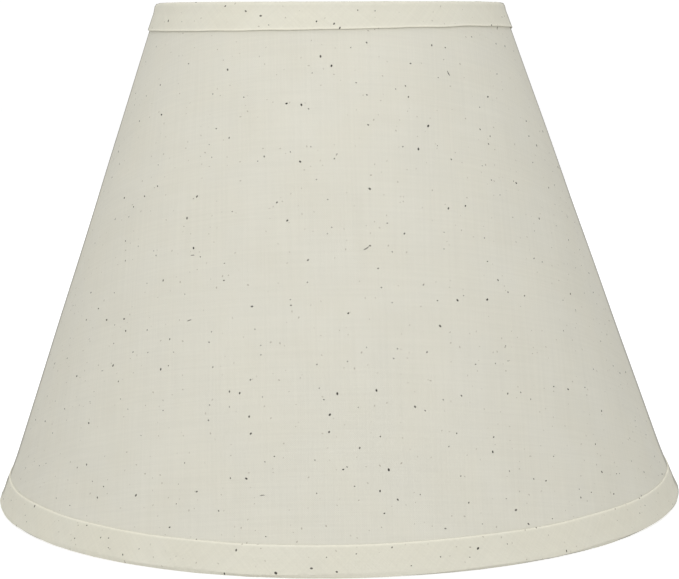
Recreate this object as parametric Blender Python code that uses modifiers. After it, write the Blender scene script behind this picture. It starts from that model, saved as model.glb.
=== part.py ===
"""Hardback empire lamp shade.

A cone of styrene sheet with woven cloth laminated to its outside is rolled up and lapped at the back. A wire
ring stiffens each end, and a folded tape wraps each edge and its ring. Three wire arms join the top ring to a
dropped washer, the spider, which sits on a lamp's harp.

Metres, +Z up. The origin is the middle of the foot, on the surface that the shade stands on. The lapped seam is
at the back, on +Y.
"""

import math

import bmesh
import bpy
from mathutils import Matrix, Vector

INCH = 0.0254

# The cone, across the cloth at the panel's own edges and along its side.
BOTTOM_DIAMETER = 12 * INCH
TOP_DIAMETER = 6 * INCH
SLANT = 9 * INCH

# Thicknesses from the outside in: cloth, adhesive film, styrene.
CLOTH_THICKNESS = 0.00035
FILM_THICKNESS = 0.00015
STYRENE_THICKNESS = 0.0004

WIRE_RADIUS = 0.0014  # both rings
ARM_RADIUS = 0.0013
CLEARANCE = 0.0003  # between pieces that touch on the real shade

# The lapped seam.
LAP_WIDTH = 0.012
LAP_GAP = 0.0002  # a hair between the lapped layers
LAP_RAMP = 0.008  # the length over which the outer end climbs onto the inner one
LAP_MARGIN = 0.0015  # the climb ends this far short of the inner end

# The edging tape, a section wrapped round the panel's edge and the wire.
TAPE_THICKNESS = 0.0007
BAND_WIDTH = 0.010  # up the outside, from the panel's edge
INNER_BAND_WIDTH = 0.0105
TAPE_LANDING = 0.0075  # from the edge to where the inner leg reaches the liner
FOLD_RADIUS = 0.0018
PANEL_SETBACK = 0.001  # from the inside of the fold to the panel's edge

# The spider.
ARM_COUNT = 3
FIRST_ARM_DEGREES = 30
SPIDER_DROP = 0.5 * INCH  # from the top of the shade to the washer's upper face
WASHER_DIAMETER = 0.030
WASHER_HOLE = 7 / 16 * INCH
WASHER_THICKNESS = 0.002
WASHER_CHAMFER = 0.0003
GROOVE_DEPTH = 0.001
ARM_INNER_END = 0.009
ARM_CLIMB = math.radians(45)
ARM_BEND_RADIUS = 0.005

# How finely round things are divided. Every piece of the cone shares the same stations round the axis, so that
# neighbouring facets stay parallel, and the stations crowd together towards the seam.
STATIONS = 72
CROWDING = 0.55
PANEL_ROWS = 3
LAP_COLUMNS = 4
WIRE_SIDES = 8
WASHER_SIDES = 48
CUTTER_SIDES = 16
CUTTER_OVERRUN = 0.003  # a cutter runs this far past what it cuts

# Worked out from the sizes above.
BOTTOM_RADIUS = BOTTOM_DIAMETER / 2
TOP_RADIUS = TOP_DIAMETER / 2
LEAN_SINE = (BOTTOM_RADIUS - TOP_RADIUS) / SLANT
LEAN_COSINE = math.sqrt(1 - LEAN_SINE**2)
LEAN = math.asin(LEAN_SINE)
WALL = CLOTH_THICKNESS + FILM_THICKNESS + STYRENE_THICKNESS
TAPE_PROUD = CLEARANCE + TAPE_THICKNESS
PANEL_FOOT = TAPE_PROUD + PANEL_SETBACK
TOTAL_HEIGHT = SLANT * LEAN_COSINE + 2 * PANEL_FOOT
RING_DEPTH = WALL + CLEARANCE + WIRE_RADIUS
RING_HEIGHT = TAPE_PROUD + WIRE_RADIUS  # of the wire's centre, from either end of the shade
LAP_RISE = WALL + LAP_GAP
WASHER_TOP = TOTAL_HEIGHT - SPIDER_DROP
ARM_HEIGHT = WASHER_TOP - GROOVE_DEPTH + CLEARANCE + ARM_RADIUS
SEAM_ANGLE = math.pi / 2


# ---------------------------------------------------------------- the cone's own geometry


def wall_point(slant, depth):
    """(radius, height) at a distance up the side from the panel's foot, and a depth in from the cloth's face."""
    return (
        BOTTOM_RADIUS - slant * LEAN_SINE - depth * LEAN_COSINE,
        PANEL_FOOT + slant * LEAN_COSINE - depth * LEAN_SINE,
    )


def radius_at(height, depth):
    """The radius at a height, at a depth in from the cloth's face."""
    slant = (height - PANEL_FOOT + depth * LEAN_SINE) / LEAN_COSINE
    return wall_point(slant, depth)[0]


def depth_of(radius, height):
    """How far a point lies in from the cloth's face. It is negative outside the shade."""
    return (BOTTOM_RADIUS - radius) * LEAN_COSINE - (height - PANEL_FOOT) * LEAN_SINE


def smooth_step(share):
    share = min(1.0, max(0.0, share))
    return share * share * (3 - 2 * share)


def crowded(angle):
    """An even angle from the seam, moved so that equal steps bunch up at the seam."""
    return angle - CROWDING * math.sin(angle)


def lap_rise(arc):
    """How far the outer end of the panel stands off the cone, at this arc length before the seam's edge."""
    clear = LAP_WIDTH + LAP_MARGIN
    return LAP_RISE * (1 - smooth_step((arc - clear) / LAP_RAMP))


def tape_rise(angle, radius):
    """How far the tape is pushed out over the lap, at an angle from the seam between -pi and pi."""
    arc = -angle * radius
    if arc >= 0:
        return lap_rise(arc)
    return LAP_RISE * (1 - smooth_step((-arc - LAP_MARGIN) / LAP_RAMP))


def on_cone(angle, radius, height):
    """The point at an angle from the seam."""
    turned = SEAM_ANGLE + angle
    return Vector((radius * math.cos(turned), radius * math.sin(turned), height))


# ---------------------------------------------------------------- shared tools


def clear_scene():
    for obj in list(bpy.data.objects):
        bpy.data.objects.remove(obj, do_unlink=True)


def new_collection(name):
    collection = bpy.data.collections.new(name)
    bpy.context.scene.collection.children.link(collection)
    return collection


def new_material(name, colour, roughness, metallic=0.0):
    material = bpy.data.materials.new(name)
    material.use_nodes = True
    shader = material.node_tree.nodes["Principled BSDF"]
    shader.inputs["Base Color"].default_value = (*colour, 1.0)
    shader.inputs["Roughness"].default_value = roughness
    shader.inputs["Metallic"].default_value = metallic
    return material


def place(obj, collection, parent, material):
    """Files an object under its collection, parent and material."""
    for other in list(obj.users_collection):
        other.objects.unlink(obj)
    collection.objects.link(obj)
    obj.parent = parent
    obj.data.materials.clear()
    obj.data.materials.append(material)
    return obj


def mesh_object(name, bm, smooth_angle=math.radians(30)):
    """Turns a bmesh into an object with outward faces, shaded smooth up to an angle."""
    bmesh.ops.recalc_face_normals(bm, faces=bm.faces)
    if bm.calc_volume(signed=True) < 0:
        bmesh.ops.reverse_faces(bm, faces=bm.faces)
    mesh = bpy.data.meshes.new(name)
    bm.to_mesh(mesh)
    bm.free()
    mesh.shade_smooth()
    mesh.set_sharp_from_angle(angle=smooth_angle)
    return bpy.data.objects.new(name, mesh)


def arc_points(centre, radius, start, end, steps):
    """Points round a centre in the (radius, height) plane, from one angle to another."""
    angles = [start + (end - start) * i / steps for i in range(steps + 1)]
    return [(centre[0] + radius * math.cos(a), centre[1] + radius * math.sin(a)) for a in angles]


def turned_bmesh(profile, steps):
    """A closed profile of (radius, height) points, spun once round Z from +X."""
    bm = bmesh.new()
    verts = [bm.verts.new((r, 0.0, z)) for r, z in profile]
    edges = [bm.edges.new((a, b)) for a, b in zip(verts, verts[1:] + verts[:1])]
    bmesh.ops.spin(
        bm,
        geom=verts + edges,
        cent=(0, 0, 0),
        axis=(0, 0, 1),
        angle=2 * math.pi,
        steps=steps,
        use_merge=True,
    )
    return bm


def crowd_to_seam(bm):
    """Moves evenly spaced stations, counted from +X, to their crowded places, counted from the seam."""
    for vert in bm.verts:
        angle = math.atan2(vert.co.y, vert.co.x)
        radius = math.hypot(vert.co.x, vert.co.y)
        vert.co = on_cone(crowded(angle), radius, vert.co.z)


def subtract(obj, cutters):
    for cutter in cutters:
        modifier = obj.modifiers.new("cut_" + cutter.name, "BOOLEAN")
        modifier.operation = "DIFFERENCE"
        modifier.solver = "EXACT"
        modifier.object = cutter


def cylinder_cutter(name, collection, radius, start, end):
    """A hidden cylinder between two points, for cutting."""
    start, end = Vector(start), Vector(end)
    along = end - start
    turn = along.to_track_quat("Z", "Y").to_matrix().to_4x4()
    bm = bmesh.new()
    bmesh.ops.create_cone(
        bm,
        cap_ends=True,
        segments=CUTTER_SIDES,
        radius1=radius,
        radius2=radius,
        depth=along.length,
        matrix=Matrix.Translation((start + end) / 2) @ turn,
    )
    cutter = mesh_object(name, bm)
    collection.objects.link(cutter)
    cutter.hide_render = True
    cutter.display_type = "WIRE"
    return cutter


# ---------------------------------------------------------------- the laminated panel


def panel_angle(column, radius):
    """The angle from the seam at a column of the panel: first the hidden inner end, then once round."""
    if column < LAP_COLUMNS:
        return -(LAP_WIDTH / radius) * (1 - column / LAP_COLUMNS)
    station = column - LAP_COLUMNS
    return crowded(2 * math.pi * station / STATIONS)


def rolled_sheet(name, depth, thickness):
    """One sheet of the panel, rolled into the cone and lapped, with its outer face at a depth in from the cloth's."""
    columns = LAP_COLUMNS + STATIONS
    bm = bmesh.new()
    bmesh.ops.create_grid(bm, x_segments=columns, y_segments=PANEL_ROWS, size=0.5)
    for vert in bm.verts:
        column = round((vert.co.x + 0.5) * columns)
        slant = (vert.co.y + 0.5) * SLANT
        radius, _ = wall_point(slant, depth)
        angle = panel_angle(column, radius)
        rise = lap_rise((2 * math.pi - angle) * radius)
        vert.co = on_cone(angle, *wall_point(slant, depth - rise))
    sheet = mesh_object(name, bm)
    middle = sheet.data.polygons[len(sheet.data.polygons) // 2]
    if middle.normal.dot(Vector((middle.center.x, middle.center.y, 0))) < 0:
        sheet.data.flip_normals()
    solidify = sheet.modifiers.new("thickness", "SOLIDIFY")
    solidify.thickness = thickness
    solidify.offset = -1
    solidify.use_even_offset = True
    return sheet


# ---------------------------------------------------------------- the wire rings


def wire_ring(name, height):
    bpy.ops.mesh.primitive_torus_add(
        major_segments=STATIONS,
        minor_segments=WIRE_SIDES,
        major_radius=radius_at(height, RING_DEPTH),
        minor_radius=WIRE_RADIUS,
    )
    primitive = bpy.context.object
    bm = bmesh.new()
    bm.from_mesh(primitive.data)
    bpy.data.objects.remove(primitive)
    crowd_to_seam(bm)
    ring = mesh_object(name, bm, smooth_angle=math.radians(60))
    ring.location.z = height
    return ring


# ---------------------------------------------------------------- the edging tape


def tape_profile(at_top):
    """The tape's closed section: down the outer face, round the edge and the wire, up the liner, and back."""
    end, into = (TOTAL_HEIGHT, -1) if at_top else (0.0, 1)

    def from_edge(distance, depth):
        return wall_point(SLANT - distance if at_top else distance, depth)

    wire_height = end + into * RING_HEIGHT
    wire = (radius_at(wire_height, RING_DEPTH), wire_height)
    fold_height = end + into * FOLD_RADIUS
    fold = (radius_at(fold_height, FOLD_RADIUS - TAPE_PROUD), fold_height)

    # The inner leg leaves the wire on its tangent and lands on the liner.
    round_wire = WIRE_RADIUS + TAPE_PROUD
    landing = from_edge(TAPE_LANDING, WALL + TAPE_PROUD)
    across, up = landing[0] - wire[0], landing[1] - wire[1]
    bearing = math.atan2(up, across) % (2 * math.pi)
    if at_top:
        leaving = bearing - math.acos(round_wire / math.hypot(across, up))
    else:
        leaving = bearing + math.acos(round_wire / math.hypot(across, up)) - 2 * math.pi
    facing_out = -into * math.pi / 2

    outer = [from_edge(BAND_WIDTH, -TAPE_PROUD)]
    outer += arc_points(fold, FOLD_RADIUS, LEAN, facing_out, 3)
    outer += arc_points(wire, round_wire, facing_out, leaving, 4)
    outer += [landing, from_edge(INNER_BAND_WIDTH, WALL + TAPE_PROUD)]
    inner = [from_edge(INNER_BAND_WIDTH, WALL + CLEARANCE), from_edge(TAPE_LANDING, WALL + CLEARANCE)]
    inner += arc_points(wire, WIRE_RADIUS + CLEARANCE, leaving, facing_out, 3)
    inner += arc_points(fold, FOLD_RADIUS - TAPE_THICKNESS, facing_out, LEAN, 3)
    inner += [from_edge(BAND_WIDTH, -CLEARANCE)]
    return outer + inner


def edging_tape(name, at_top):
    """The tape round one end, pushed out where it crosses the lap."""
    bm = turned_bmesh(tape_profile(at_top), STATIONS)
    crowd_to_seam(bm)
    for vert in bm.verts:
        radius = math.hypot(vert.co.x, vert.co.y)
        angle = (math.atan2(vert.co.y, vert.co.x) - SEAM_ANGLE + math.pi) % (2 * math.pi) - math.pi
        depth = depth_of(radius, vert.co.z)
        outside = 1 - smooth_step(depth / (WALL + CLEARANCE))
        push = outside * tape_rise(angle, radius) / LEAN_COSINE
        vert.co = on_cone(angle, radius + push, vert.co.z)
    return mesh_object(name, bm)


# ---------------------------------------------------------------- the spider


def arm_route():
    """The arm's centreline in the (radius, height) plane: level out from the washer, a bend, a climb to the ring."""
    wire_height = TOTAL_HEIGHT - RING_HEIGHT
    wire_radius = radius_at(wire_height, RING_DEPTH)
    corner = wire_radius - (wire_height - ARM_HEIGHT) / math.tan(ARM_CLIMB)
    bend_start = corner - ARM_BEND_RADIUS * math.tan(ARM_CLIMB / 2)
    bend_centre = (bend_start, ARM_HEIGHT + ARM_BEND_RADIUS)
    quarter = math.pi / 2
    bend = arc_points(bend_centre, ARM_BEND_RADIUS, -quarter, ARM_CLIMB - quarter, 5)
    reach = WIRE_RADIUS + CLEARANCE
    tip = (wire_radius - reach * math.cos(ARM_CLIMB), wire_height - reach * math.sin(ARM_CLIMB))
    return [(ARM_INNER_END, ARM_HEIGHT), *bend, tip]


def arm_curve():
    """One arm as a wire along +X."""
    route = arm_route()
    curve = bpy.data.curves.new("spider_arm", "CURVE")
    curve.dimensions = "3D"
    curve.bevel_depth = ARM_RADIUS
    curve.bevel_resolution = 3
    curve.use_fill_caps = True
    spline = curve.splines.new("POLY")
    spline.points.add(len(route) - 1)
    for point, (radius, height) in zip(spline.points, route):
        point.co = (radius, 0.0, height, 1.0)
    return curve


def arm_angles():
    return [math.radians(FIRST_ARM_DEGREES + 360 * i / ARM_COUNT) for i in range(ARM_COUNT)]


def arm_holes(collection):
    """Cutters that open the top tape where each arm climbs through its inner leg to the wire."""
    wire_height = TOTAL_HEIGHT - RING_HEIGHT
    wire_radius = radius_at(wire_height, RING_DEPTH)
    reach = WIRE_RADIUS + TAPE_PROUD + 2 * CUTTER_OVERRUN
    low = (wire_radius - reach * math.cos(ARM_CLIMB), wire_height - reach * math.sin(ARM_CLIMB))
    cutters = []
    for index, angle in enumerate(arm_angles(), start=1):
        ends = [(r * math.cos(angle), r * math.sin(angle), z) for r, z in (low, (wire_radius, wire_height))]
        cutters.append(cylinder_cutter(f"arm_hole_{index}", collection, ARM_RADIUS + CLEARANCE, *ends))
    return cutters


def washer(collection):
    """The pressed washer in the middle, with a groove under each arm."""
    hole, rim = WASHER_HOLE / 2, WASHER_DIAMETER / 2
    top, bottom, chamfer = WASHER_TOP, WASHER_TOP - WASHER_THICKNESS, WASHER_CHAMFER
    profile = [
        (rim - chamfer, top),
        (rim, top - chamfer),
        (rim, bottom + chamfer),
        (rim - chamfer, bottom),
        (hole + chamfer, bottom),
        (hole, bottom + chamfer),
        (hole, top - chamfer),
        (hole + chamfer, top),
    ]
    disc = mesh_object("spider_washer", turned_bmesh(profile, WASHER_SIDES))
    cutters = []
    for index, angle in enumerate(arm_angles(), start=1):
        inner, outer = ARM_INNER_END - 2 * CLEARANCE, rim + CUTTER_OVERRUN
        ends = [(r * math.cos(angle), r * math.sin(angle), ARM_HEIGHT) for r in (inner, outer)]
        cutters.append(cylinder_cutter(f"groove_{index}", collection, ARM_RADIUS + CLEARANCE, *ends))
    subtract(disc, cutters)
    return disc


# ---------------------------------------------------------------- the assembly


def build():
    clear_scene()
    shade = new_collection("lamp_shade")
    cutters = new_collection("cutters")
    cutters.hide_render = True
    root = bpy.data.objects.new("lamp_shade", None)
    shade.objects.link(root)

    cloth = new_material("flecked_cloth", (0.72, 0.69, 0.59), 0.9)
    tape_cloth = new_material("edging_cloth", (0.75, 0.72, 0.60), 0.9)
    styrene = new_material("white_styrene", (0.86, 0.86, 0.84), 0.45)
    zinc = new_material("zinc_plated_wire", (0.62, 0.63, 0.64), 0.35, metallic=1.0)
    brass = new_material("brass_plate", (0.80, 0.62, 0.32), 0.28, metallic=1.0)

    cover = rolled_sheet("fabric_cover", 0.0, CLOTH_THICKNESS)
    place(cover, shade, root, cloth)
    liner = rolled_sheet("styrene_liner", CLOTH_THICKNESS + FILM_THICKNESS, STYRENE_THICKNESS)
    place(liner, shade, root, styrene)

    place(wire_ring("bottom_ring", RING_HEIGHT), shade, root, zinc)
    place(wire_ring("top_ring", TOTAL_HEIGHT - RING_HEIGHT), shade, root, brass)

    place(edging_tape("bottom_edging_tape", at_top=False), shade, root, tape_cloth)
    top_tape = edging_tape("top_edging_tape", at_top=True)
    subtract(top_tape, arm_holes(cutters))
    place(top_tape, shade, root, tape_cloth)

    curve = arm_curve()
    for index, angle in enumerate(arm_angles(), start=1):
        arm = bpy.data.objects.new(f"spider_arm_{index}", curve)
        arm.rotation_euler.z = angle
        place(arm, shade, root, brass)
    place(washer(cutters), shade, root, brass)


build()
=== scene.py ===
"""Looks of the lamp shade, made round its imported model.

Metres, in the model's own frame: +Z up, the foot on z = 0, the front on -Y and the lapped seam at the back, on +Y.

Every piece of the cone is placed by three numbers: an angle from the seam, a distance up the side from the
panel's foot, and a depth in from the cloth's face. Shapes are made as grids of points, then given a thickness.
"""

import math

import bmesh
import bpy
import numpy as np
from mathutils import Matrix, Vector, noise


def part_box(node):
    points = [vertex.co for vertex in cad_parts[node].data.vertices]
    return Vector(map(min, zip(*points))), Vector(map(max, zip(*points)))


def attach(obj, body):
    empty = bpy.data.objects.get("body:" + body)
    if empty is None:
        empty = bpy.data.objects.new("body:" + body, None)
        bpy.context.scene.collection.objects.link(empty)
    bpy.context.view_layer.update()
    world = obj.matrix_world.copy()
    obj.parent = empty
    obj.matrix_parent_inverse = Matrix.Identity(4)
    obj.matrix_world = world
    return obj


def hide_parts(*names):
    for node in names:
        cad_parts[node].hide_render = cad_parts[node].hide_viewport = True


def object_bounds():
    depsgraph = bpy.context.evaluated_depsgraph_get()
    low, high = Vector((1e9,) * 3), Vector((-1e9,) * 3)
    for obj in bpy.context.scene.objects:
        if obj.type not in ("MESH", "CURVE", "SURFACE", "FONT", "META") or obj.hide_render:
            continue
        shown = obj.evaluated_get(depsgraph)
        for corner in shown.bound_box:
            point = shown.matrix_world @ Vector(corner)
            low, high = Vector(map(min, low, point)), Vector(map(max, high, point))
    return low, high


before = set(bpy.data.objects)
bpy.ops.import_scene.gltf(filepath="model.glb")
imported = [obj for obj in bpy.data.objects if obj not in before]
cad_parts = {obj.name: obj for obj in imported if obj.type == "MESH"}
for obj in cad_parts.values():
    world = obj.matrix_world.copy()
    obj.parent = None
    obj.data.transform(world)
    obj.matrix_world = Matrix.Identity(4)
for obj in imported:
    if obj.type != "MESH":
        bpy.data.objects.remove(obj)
cad_low, cad_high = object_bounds()

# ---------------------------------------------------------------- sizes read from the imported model

INCH = 0.0254


def measured_cone():
    """(foot radius, foot height, crown radius, crown height) of the cloth's outer face, read at the front."""
    points = np.array([v.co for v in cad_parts["fabric_cover"].data.vertices])
    front = points[points[:, 1] < 0]
    radius = np.hypot(front[:, 0], front[:, 1])
    foot, crown = radius.argmax(), front[:, 2].argmax()
    return radius[foot], front[foot, 2], radius[crown], front[crown, 2]


FOOT_RADIUS, FOOT_HEIGHT, CROWN_RADIUS, CROWN_HEIGHT = (float(x) for x in measured_cone())
TOTAL_HEIGHT = cad_high.z
SLANT = math.hypot(FOOT_RADIUS - CROWN_RADIUS, CROWN_HEIGHT - FOOT_HEIGHT)
LEAN_SINE = (FOOT_RADIUS - CROWN_RADIUS) / SLANT
LEAN_COSINE = (CROWN_HEIGHT - FOOT_HEIGHT) / SLANT
APEX = FOOT_RADIUS / LEAN_SINE  # along the side, from the foot to where the cone would close


def ring_sizes(node):
    """(radius to the wire's centre, height of its centre, radius of the wire)."""
    low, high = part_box(node)
    wire = (high.z - low.z) / 2
    return (high.x - low.x) / 2 - wire, (high.z + low.z) / 2, wire


# The layers of the panel and its lap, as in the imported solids.
CLOTH_THICKNESS = 0.00035
FILM_THICKNESS = 0.00005
STYRENE_THICKNESS = 0.0005
WALL = CLOTH_THICKNESS + FILM_THICKNESS + STYRENE_THICKNESS
LAP_WIDTH = 0.012
LAP_RAMP = 0.008
LAP_MARGIN = 0.0015
LAP_RISE = WALL + 0.00012  # one panel's thickness and the glue

# What handwork does to the cone. A reach is the length over which a shape fades.
FLARE = 0.0003  # how far the ring spreads the foot
FLARE_REACH = 0.016
FOOT_BULGE = 0.0002  # how much farther the foot's very edge stands out
FOOT_BULGE_REACH = 0.009
SPRING = 0.00028  # how far the panel stands out just above the foot's tape
SPRING_REACH = 0.012
SPRING_DROP = 0.0011  # how far under the tape that starts
CROWN_SPREAD = 0.0010  # how far the top ring pushes the crown out
LEAN_ASIDE = -0.0064  # the lean of the whole shade, per metre of height
SKEW = 0.0103  # the fall of the top to the right, per metre across
SADDLE = 0.0005  # how far the top dips at its front and back, and rises at its sides
BUCKLE = 0.00010  # the scale of the panel's gentle waves
BROAD_WAVES = [0.0, 0.3, 0.5, 0.4, 0.6, 0.4, 0.5]
BROAD_TWIST = 3.0  # in radians round, per metre up the side
NARROW_WAVES = [0.0] * 7 + [0.4, 0.3, 0.4, 0.3]
NARROW_TWIST = -9.0

SEAM_ANGLE = math.pi / 2  # from +X
SHARP_ANGLE = math.radians(50)  # shading is smooth up to this


# ---------------------------------------------------------------- the shape of the wall


def smooth_step(share):
    """0 for a share up to 0, 1 for a share from 1, and a smooth climb between."""
    share = np.clip(share, 0.0, 1.0)
    return share * share * (3 - 2 * share)


def bump_at(x, middle, reach):
    """A smooth bell, 1 at the middle and nearly 0 at the reach."""
    return np.exp(-(((x - middle) / reach) ** 2) * 3)


def wave(angle, amounts, seed):
    """A closed wave round the axis: the given amounts at one, two, three and more turns, with random phases."""
    phases = np.random.default_rng(seed).uniform(0, 2 * math.pi, len(amounts))
    return sum(
        amount * np.sin((turns + 1) * angle + phase)
        for turns, (amount, phase) in enumerate(zip(amounts, phases))
    )


def lap_rise(arc):
    """How far the outer end of the panel stands off the cone, at an arc length before the seam's edge."""
    return LAP_RISE * (1 - smooth_step((arc - LAP_WIDTH - LAP_MARGIN) / LAP_RAMP))


def rise_over_lap(angle, radius):
    """How far a tape is pushed out where it crosses the lap, at an angle from the seam."""
    turned = (angle + math.pi) % (2 * math.pi) - math.pi
    before = lap_rise(-turned * radius)
    after = LAP_RISE * (1 - smooth_step((turned * radius - LAP_MARGIN) / LAP_RAMP))
    return np.where(turned < 0, before, after)


def handwork(angle, slant):
    """How far the wall stands out from a perfect cone."""
    flare = FLARE * smooth_step(1 - slant / FLARE_REACH)
    flare = flare + FOOT_BULGE * smooth_step(1 - slant / FOOT_BULGE_REACH)
    middle = np.sin(np.clip(slant / SLANT, 0, 1) * math.pi)
    broad = wave(angle + slant * BROAD_TWIST, BROAD_WAVES, 3) * BUCKLE * middle
    narrow = wave(angle + slant * NARROW_TWIST, NARROW_WAVES, 4) * BUCKLE * middle
    return flare + (broad + narrow) + CROWN_SPREAD * slant / SLANT


def depth_in(radius, height):
    """How far in from the cloth's face a point lies."""
    return (FOOT_RADIUS - radius) * LEAN_COSINE - (height - FOOT_HEIGHT) * LEAN_SINE


def up_side(depth, height):
    """How far up the side a point lies, from the panel's foot."""
    return (height - FOOT_HEIGHT + depth * LEAN_SINE) / LEAN_COSINE


def wall(angle, slant, depth, rise=0.0):
    """Points of the wall, pushed out by a rise."""
    out = handwork(angle, slant) + rise - depth
    radius = FOOT_RADIUS - slant * LEAN_SINE + out * LEAN_COSINE
    height = FOOT_HEIGHT + slant * LEAN_COSINE + out * LEAN_SINE
    turned = SEAM_ANGLE + angle
    return np.stack([radius * np.cos(turned), radius * np.sin(turned), height + 0 * turned], axis=-1)


def skewed(points):
    """The whole shade as it settled: it leans a hair, and its top falls to the right and dips front and back."""
    x, y, z = (points[..., i] for i in range(3))
    share_up = np.clip(z / TOTAL_HEIGHT, 0, 1)
    settled = points.copy()
    settled[..., 0] += LEAN_ASIDE * z
    settled[..., 2] -= SKEW * x * share_up
    settled[..., 2] += SADDLE * (x**2 - y**2) / CROWN_RADIUS**2 * share_up**6
    return settled


# ---------------------------------------------------------------- meshes from grids of points


def grid_faces(rows, columns, close_rows=False, close_columns=False):
    """The corner numbers of every quad of a grid of points."""
    row = np.arange(rows if close_rows else rows - 1)
    column = np.arange(columns if close_columns else columns - 1)
    r, c = np.meshgrid(row, column, indexing="ij")
    r2, c2 = (r + 1) % rows, (c + 1) % columns
    corners = np.stack([r * columns + c, r * columns + c2, r2 * columns + c2, r2 * columns + c], axis=-1)
    return corners.reshape(-1, 4)


def mesh_piece(name, points, faces, maps, fold=None):
    """An object from points, quads, each point's place on the flat material and, for cloth, its nearness to a fold
    or cut end, along which the cloth's material paints a highlight."""
    mesh = bpy.data.meshes.new(name)
    mesh.from_pydata(skewed(points.reshape(-1, 3)).tolist(), [], faces.tolist())
    mesh.shade_smooth()
    layer = mesh.uv_layers.new(name="weave")
    corner = np.zeros(len(mesh.loops), dtype=np.int32)
    mesh.loops.foreach_get("vertex_index", corner)
    layer.data.foreach_set("uv", maps.reshape(-1, 2)[corner].astype(np.float32).ravel())
    if fold is not None:
        attribute = mesh.attributes.new("fold", "FLOAT", "POINT")
        attribute.data.foreach_set("value", fold.astype(np.float32).ravel())
    piece = bpy.data.objects.new(name, mesh)
    bpy.context.scene.collection.objects.link(piece)
    return piece


def drop_loose(piece):
    """Removes points that no face uses."""
    bm = bmesh.new()
    bm.from_mesh(piece.data)
    bmesh.ops.delete(bm, geom=[v for v in bm.verts if not v.link_faces], context="VERTS")
    bm.to_mesh(piece.data)
    bm.free()


def thicken(piece, thickness, offset):
    """Makes a surface into a sheet, which grows inwards at an offset of -1 and both ways at 0."""
    solidify = piece.modifiers.new("thickness", "SOLIDIFY")
    solidify.thickness = thickness
    solidify.offset = offset
    solidify.use_even_offset = True
    bpy.context.view_layer.update()
    mesh = bpy.data.meshes.new_from_object(piece.evaluated_get(bpy.context.evaluated_depsgraph_get()))
    piece.modifiers.clear()
    piece.data = mesh
    mesh.name = piece.name
    mesh.shade_smooth()
    mesh.set_sharp_from_angle(angle=SHARP_ANGLE)


def face_outwards(piece):
    """Caps a piece's open ends, turns its faces outwards and marks its sharp edges."""
    bm = bmesh.new()
    bm.from_mesh(piece.data)
    bmesh.ops.holes_fill(bm, edges=[e for e in bm.edges if e.is_boundary])
    bmesh.ops.recalc_face_normals(bm, faces=bm.faces)
    if bm.calc_volume(signed=True) < 0:
        bmesh.ops.reverse_faces(bm, faces=bm.faces)
    bm.to_mesh(piece.data)
    bm.free()
    piece.data.set_sharp_from_angle(angle=SHARP_ANGLE)


TUBE_SIDES = 24
TUBE_MAP_RADIUS = 0.0014  # makes a turn round a wire into a length, for the wire's finish


def tube(name, path, side, radii, closed=False):
    """A round bar along a flat path. side is the direction square to the path's plane. radii are (across, along
    side) at each point."""
    along = np.gradient(path, axis=0) if not closed else np.roll(path, -1, axis=0) - np.roll(path, 1, axis=0)
    along /= np.linalg.norm(along, axis=1)[:, None]
    side = np.broadcast_to(np.array(side, float), path.shape)
    across = np.cross(side, along)
    turn = np.linspace(0, 2 * math.pi, TUBE_SIDES, endpoint=False)
    radii = np.broadcast_to(np.array(radii, float), (len(path), 2))
    points = (
        path[:, None, :]
        + (radii[:, 0, None] * np.cos(turn))[..., None] * across[:, None, :]
        + (radii[:, 1, None] * np.sin(turn))[..., None] * side[:, None, :]
    )
    length = np.concatenate([[0], np.cumsum(np.linalg.norm(np.diff(path, axis=0), axis=1))])
    maps = np.stack(np.broadcast_arrays(length[:, None], turn[None, :] * TUBE_MAP_RADIUS), axis=-1)
    piece = mesh_piece(name, points, grid_faces(len(path), TUBE_SIDES, closed, True), maps)
    face_outwards(piece)
    return piece


# ---------------------------------------------------------------- the laminated panel

PANEL_COLUMNS = 440
LAP_COLUMNS = 10
PANEL_ROWS = 66
EDGE_ROWS = 26  # just above the edge of the foot's tape
HIDDEN_ROWS = 5  # below it
SEAM_CROWDING = 0.35
WANDER_REACH = 0.004  # how far the panel's rows follow the wandering edge of the tape
RAW_EDGE = 0.0004  # the width of the painted highlight along the lap's raw edge


def weave_place(angle, slant):
    """Where a point of the cone lies on the flat cloth, whose threads run up the front."""
    turn = (angle - math.pi) * LEAN_SINE
    reach = APEX - slant
    return np.stack([reach * np.sin(turn), APEX - reach * np.cos(turn)], axis=-1)


def crowded(share):
    """An even share of the way round, moved so that equal steps bunch up at the seam."""
    return share - SEAM_CROWDING * np.sin(2 * math.pi * share) / (2 * math.pi)


def panel_rows():
    """Distances up the side, closely spaced where the panel springs out above the foot's tape."""
    first, length = BAND[False] - SPRING_DROP, SPRING_REACH / 3 + SPRING_DROP
    close = first + length * np.linspace(0, 1, EDGE_ROWS) ** 1.7
    below = np.linspace(0, close[0], HIDDEN_ROWS, endpoint=False)
    above = np.linspace(close[-1], SLANT, PANEL_ROWS)[1:]
    return np.concatenate([below, close, above])


def spring(angle, slant):
    """How far the panel stands out above the edge of the foot's tape, falling back under it."""
    over = slant - BAND[False] - tape_wander(angle, False)
    above = smooth_step(1 - over / SPRING_REACH) ** 1.5
    below = smooth_step(1 + over / SPRING_DROP)
    return SPRING * np.where(over > 0, above, below)


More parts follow.
